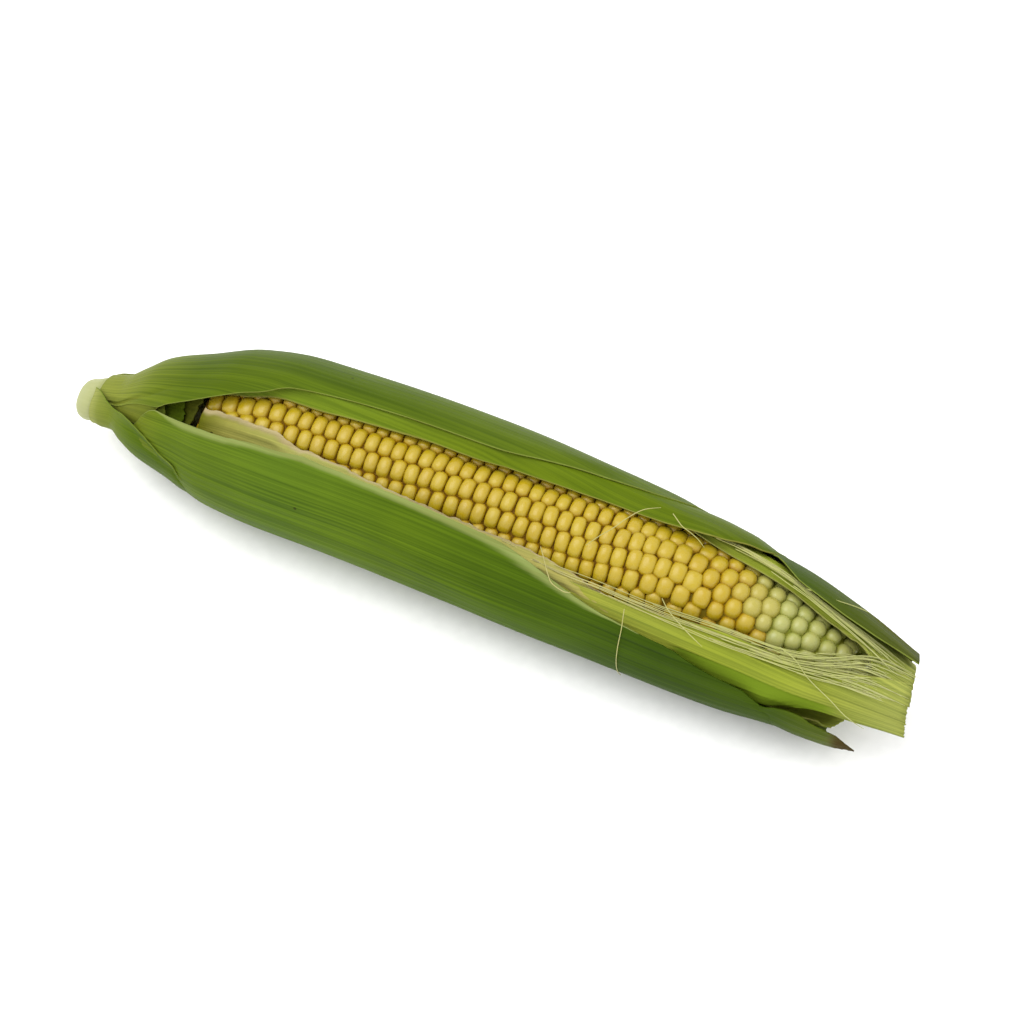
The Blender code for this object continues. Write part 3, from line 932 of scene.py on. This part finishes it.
leaf("second_leaf", bright_green, "second_husk_leaf", start=15, ends=(218, 227), depth=1.3,
     cells=(90, 150), dense=1.9, bend=second_bend, ribs=0.04, waves=0.12, ragged=0.2, frayed=0.1,
     seed=6.2, low=-130,
     high=[(15, 62), (28, 61), (31, 50), (34, 36), (38, 16), (42, 8), (50, 12), (55, 8.5), (62, 6),
           (68, 2), (73, 0.5), (83, 1), (93, -1), (106, -3), (119, -5), (131, -5.5), (144, -9),
           (156, -11.5), (168, -15), (180, -17.5), (190, -18), (203, -18), (208, -21), (212, -26),
           (216, -31.5), (220, -36), (222, -42), (224, -54), (227, -70)],
     margin_width=[(15, 0.1), (46, 0.5), (110, 0.5), (140, 0.25), (230, 0.25)])


# %% Under, keel and back leaves
def under_dry(station, angle, from_margin):
    """Brown at the very tip."""
    return ease(254, 261, station)


def back_dry(station, angle, from_margin):
    """A dry brownish patch over the leaf's back near the trimmed end."""
    return 0.7 * ease(240, 266, station) * ease(4.0, 10.0, from_margin)


leaf("under_leaf", front_green, "under_husk_leaf", start=15, ends=(264, 250),
     cells=(70, 120), shows="low", frayed=0.3, margin_width=0.02, dry=under_dry, seed=8.8,
     low=[(15, 70), (60, 76), (200, 82), (230, 82), (236, 88), (240, 82), (247, 78), (251, 82), (255, 84),
          (259, 88), (264, 112)],
     high=[(15, 168), (225, 168), (240, 175), (264, 178)],
     depth=[(15, 1.5), (225, 1.7), (238, 1.2), (247, -0.2), (256, -1.4), (264, -2.0)])
leaf("keel_leaf", front_green, "keel_husk_leaf", start=15, ends=(252, 248), depth=1.6,
     cells=(40, 90), low=176, high=[(15, 224), (225, 224), (252, 206)], seed=9.4)
leaf("back_leaf", outer_green, "back_husk_leaf", start=18, ends=(267, 272.3),
     cells=(70, 140), margin_width=0.15, dry=back_dry, ribs=0.06, waves=0.15, frayed=0.0, seed=10.6,
     low=-126,
     high=[(18, -36), (205, -38), (216, -44), (223, -45), (227, -37), (230, -30), (234, -24.5),
           (244, -20.5), (251, -19), (257, -19), (263, -21), (268, -24), (273, -26)],
     depth=[(18, 2.6), (214, 2.6), (224, 1.5), (234, 0.7), (250, 0.1), (273, -0.4)])

# %% [markdown]
# ## The inner leaves
#
# The innermost leaves never saw the sun and are pale. Two of them reach the trimmed end, one wraps the
# hidden side of the cob, and a torn strip with a ragged dry edge lies along the window's lower side.
# Where the husk narrows to the shank, the stubs of leaves that were cut away stand in a dark hollow.

# %% Inner leaves
def beyond_fold(station, angle):
    """1 on the part of the lower lining that lies a step deeper, past its fold near the trimmed end."""
    return ease(65.5, 67.0, angle) * ease(204, 212, station) * (1 - ease(250, 262, station))


def lower_lining_bend(station, angle, from_margin):
    """The free margin leans in over the kernels, and a fold runs along the leaf near its end."""
    lean = near(from_margin, 4.0) * ease(150, 200, station) * (1 - ease(244, 256, station))
    return -2.0 * lean - 0.7 * beyond_fold(station, angle)


def greener(station, angle, from_margin):
    """Past the fold the leaf is a deeper green."""
    return 0.9 * beyond_fold(station, angle)


def upper_lining_bend(station, angle, from_margin):
    """The free margin lies down on the kernels."""
    return -2.0 * near(from_margin, 3.5) * ease(190, 215, station) * (1 - ease(246, 258, station))


leaf("lower_lining_leaf", pale_green, "lower_inner_leaf", start=18, ends=(273, 276),
     cells=(80, 150), shows="low", bend=lower_lining_bend, dry=greener, waves=0.3, frayed=0.25, seed=12.1,
     low=[(18, 54), (150, 54), (171, 52), (184, 52), (200, 50), (209, 46), (221, 42), (233, 40.5),
          (244, 38), (252, 31), (257, 26), (264, 15), (273, 0)],
     high=[(18, 116), (200, 110), (236, 94), (247, 80), (258, 76), (276, 76)],
     depth=[(18, 2.7), (225, 2.9), (252, 2.7), (276, 1.6)],
     ribs=[(18, 0.1), (215, 0.12), (245, 0.28), (276, 0.32)])
leaf("upper_lining_leaf", pale_green, "upper_inner_leaf", start=32, ends=(270, 274.5),
     cells=(60, 140), bend=upper_lining_bend, frayed=0.25, seed=13.9, low=-78,
     high=[(32, -36), (188, -36), (200, -25), (208, -24.5), (228, -24.5), (233, -24), (238, -21.5),
           (244, -19), (249, -16), (253, -12.5), (257, -8), (260, 0), (262, 16), (264, 27), (271, 30)],
     depth=[(32, 3.75), (225, 3.4), (250, 3.4), (271, 3.0)],
     ribs=[(32, 0.1), (225, 0.12), (250, 0.25)])
leaf("wrap_leaf", pale_green, "inner_wrap_leaf", start=21, ends=(252, 268), depth=4.0,
     cells=(80, 90), shows="low", low=[(21, 86), (190, 88), (262, 104)], high=276, seed=14.7)


# %% Torn strip and leaf stubs
def torn_bend(station, angle, from_margin):
    """The strip bulges a little, and its margin leans on the kernels."""
    bulge = 1.2 * ease(56, 80, station) + 0.6 * near(from_margin - 3.5, 2.0)
    return bulge - 2.0 * near(from_margin, 2.0) * ease(52, 60, station)


leaf("torn_strip", torn_green, "torn_husk_strip", start=50, ends=(196, 200),
     cells=(50, 160), shows="low", ragged=1.3, ribs=0.12, bend=torn_bend, seed=16.3,
     low=[(50, 24), (61, 26), (75, 27), (83, 34), (97, 36), (107, 40), (130, 43), (156, 43), (200, 62)],
     high=[(50, 74), (200, 82)],
     depth=[(50, 4.1), (66, 4.5), (82, 5.1), (200, 5.0)],
     margin_width=[(50, 2.4), (80, 2.2), (95, 1.0), (130, 0.7), (200, 0.4)])

# each stub's two margins, its start, its ends, its first and last depth, and its tissue
STUBS = [(14, 46, 24, (32.5, 38.2), 2.6, 3.1, bright_green),
         (8, 58, 24, (39.5, 44.5), 5.0, 5.6, outer_green),
         (2, 62, 28, (46.8, 44.4), 7.2, 7.4, pale_green)]
for number, (low, high, start, ends, first_depth, last_depth, tissue) in enumerate(STUBS, start=1):
    leaf(f"stub_{number}", tissue, f"leaf_stub_{number}", start=start, ends=ends,
         cells=(30, 24), low=low, high=high, depth=[(24, first_depth), (48, last_depth)], waves=0.7,
         frayed=0.5, seed=17.0 + number)

# %% [markdown]
# ## Silks
#
# Silks are the thin threads that grow from the kernels and run between cob and leaves to the tip. They
# lie combed together in two bundles, and the lower one fans out at the trimmed end. Each thread is a
# curve that wanders a little, and all the curves of a bundle become one mesh of fine tubes.

# %% Draw threads
SILK_DIAMETER, STRAY_DIAMETER = 0.26, 0.28
CROWN_GAP = 0.3             # how far a bundled silk stays above the kernels
WANDER = 1.6                # degrees


def crown_depth(station, angle):
    """How deep below the husk's outside the kernels' crowns lie."""
    lean = math.cos(math.radians(angle - COB_LIFT_ANGLE))
    return husk_radius(station) - cob_radius(station) - cob_lift(station) * lean


def draw_threads(name, node, routes, diameter=SILK_DIAMETER):
    """Make one mesh of thin tubes, each along a list of points in metres."""
    curve = bpy.data.curves.new(name, "CURVE")
    curve.dimensions = "3D"
    curve.bevel_depth = diameter / 2 * MM
    curve.bevel_resolution = 1
    curve.use_fill_caps = True
    for points in routes:
        spline = curve.splines.new("POLY")
        spline.points.add(len(points) - 1)
        for i, (target, point) in enumerate(zip(spline.points, points)):
            target.co = (*point, 1.0)
            target.radius = 1.0 - 0.55 * ease(0.8, 1.0, i / (len(points) - 1))
    thread = bpy.data.objects.new(name, curve)
    bpy.context.collection.objects.link(thread)
    only(thread)
    bpy.ops.object.convert(target="MESH")
    finish_piece(bpy.context.object, silk_thread, node)


print("thread maker ready")


# %% Combed bundles
def combed(count, low, high, first, last, depth_low, depth_high, seed, points=26):
    """Threads between two lines along the ear; each starts and ends at its own station."""
    low, high, depth_low, depth_high = map(smooth, (low, high, depth_low, depth_high))
    chance = random.Random(seed)
    routes = []
    for number in range(count):
        share = chance.random()
        begin = chance.uniform(*first)
        end = chance.uniform(*last)
        stack = chance.uniform(0.0, 0.7)
        drift = chance.uniform(-0.25, 0.25)
        route = []
        for i in range(points):
            t = i / (points - 1)
            station = begin + (end - begin) * t
            here = min(max(share + drift * t, 0.0), 1.0)
            swing = WANDER * noise.noise((station / 16, number * 7.3, seed))
            angle = low(station) + (high(station) - low(station)) * here + swing
            deep = depth_low(station) + (depth_high(station) - depth_low(station)) * here
            deep = min(deep, crown_depth(station, angle) - CROWN_GAP) - stack
            route.append(axis_point(station, angle, husk_radius(station) - deep))
        routes.append(route)
    return routes


along_the_leaf = combed(
    20, first=(150, 226), last=(252, 266), seed=3,
    low=[(150, 44), (171, 46), (190, 45), (215, 40), (235, 34), (250, 20), (270, 0)],
    high=[(150, 48), (178, 51), (203, 51), (232, 48), (244, 43), (270, 20)],
    depth_low=[(150, 5.5), (215, 6.5), (250, 5.0), (270, 2.6)],
    depth_high=[(150, 4.0), (240, 3.0), (270, 1.8)])
fan = combed(
    32, first=(228, 256), last=(262, 274), seed=5, points=16,
    low=[(226, 40), (240, 33), (250, 19), (262, -8), (275, -22)],
    high=[(226, 50), (244, 45), (257, 40), (275, 36)],
    depth_low=[(226, 5.0), (250, 3.6), (275, 2.9)], depth_high=[(226, 2.9), (275, 1.7)])
below_the_fan = combed(
    30, first=(244, 256), last=(266, 273), seed=6, points=14,
    low=[(244, 24), (262, -4), (275, -14)], high=[(244, 48), (258, 46), (275, 44)],
    depth_low=[(244, 5.4), (275, 4.0)], depth_high=[(244, 4.6), (275, 3.2)])
draw_threads("lower_silk_bundle", "lower_silks", along_the_leaf + fan + below_the_fan)
draw_threads("upper_silk_bundle", "upper_silks", combed(
    26, first=(203, 238), last=(256, 269), seed=4,
    low=[(203, -27), (215, -31), (230, -30), (245, -25), (266, -25)],
    high=[(203, -22), (215, -23), (235, -20), (250, -12), (266, 2)],
    depth_low=3.3, depth_high=[(203, 3.5), (266, 2.9)]))

# %% [markdown]
# ## Stray silks
#
# A few threads have come loose: one hangs over the front leaf, others cross the kernels or stick out at
# the tip. Each follows its own short route.

# %% Stray threads
STRAY_ROUTES = [            # places with station, angle and depth
    [(174, 24, 6.0), (177, 14, 4.2), (180, 7, 2.0), (182, 0, 0.8), (185, -12, 0.5), (189, -21, 0.4)],
    [(193, -20, 0.2), (198, -14, 0.9), (202, -14, 2.2), (205, -13, 4.0)],
    [(192, 52, 0.2), (193, 68, -0.5), (193, 86, -0.5), (193, 106, -0.5), (193, 120, -0.6),
     (192, 132, -1.4)],
    [(162, 38, 5.8), (165, 44, 2.6), (168, 50, 0.0), (170, 54, -0.5), (174, 56, -0.6), (176, 55, -0.6)],
    [(200, 38, 5.8), (203, 43, 3.8), (208, 48, 2.0), (212, 52, 1.6), (216, 56, 1.6)],
    [(236, 33, 4.0), (241, 36, 2.4), (246, 45, 1.9), (254, 57, 1.6), (260, 69, 1.2), (265, 76, 0.8)],
    [(236, -22, 1.2), (243, -28, 0.6), (250, -37, -0.4), (254, -44, -0.7)],
]


def stray(route, points=30):
    """A smooth line through the places of a route, kept above the table."""
    knots = list(range(len(route)))
    columns = [smooth(list(zip(knots, column))) for column in zip(*route)]
    line = []
    for i in range(points):
        station, angle, deep = (column(i * knots[-1] / (points - 1)) for column in columns)
        line.append(axis_point(station, angle, husk_radius(station) - deep, lowest=SILK_DIAMETER))
    return line


for number, route in enumerate(STRAY_ROUTES, start=1):
    draw_threads(f"stray_silk_{number}", f"loose_silk_{number}", [stray(route)], STRAY_DIAMETER)

# %% [markdown]
# ## Sizes
#
# The model must stay as big as the part, so the last step prints how far it grows past the part's box.

# %% Print how far the model grows
low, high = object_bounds()
print("grows by", [round(max(a - b, 0) / MM, 2) for a, b in zip(cad_low, low)],
      [round(max(b - a, 0) / MM, 2) for a, b in zip(cad_high, high)], "mm")
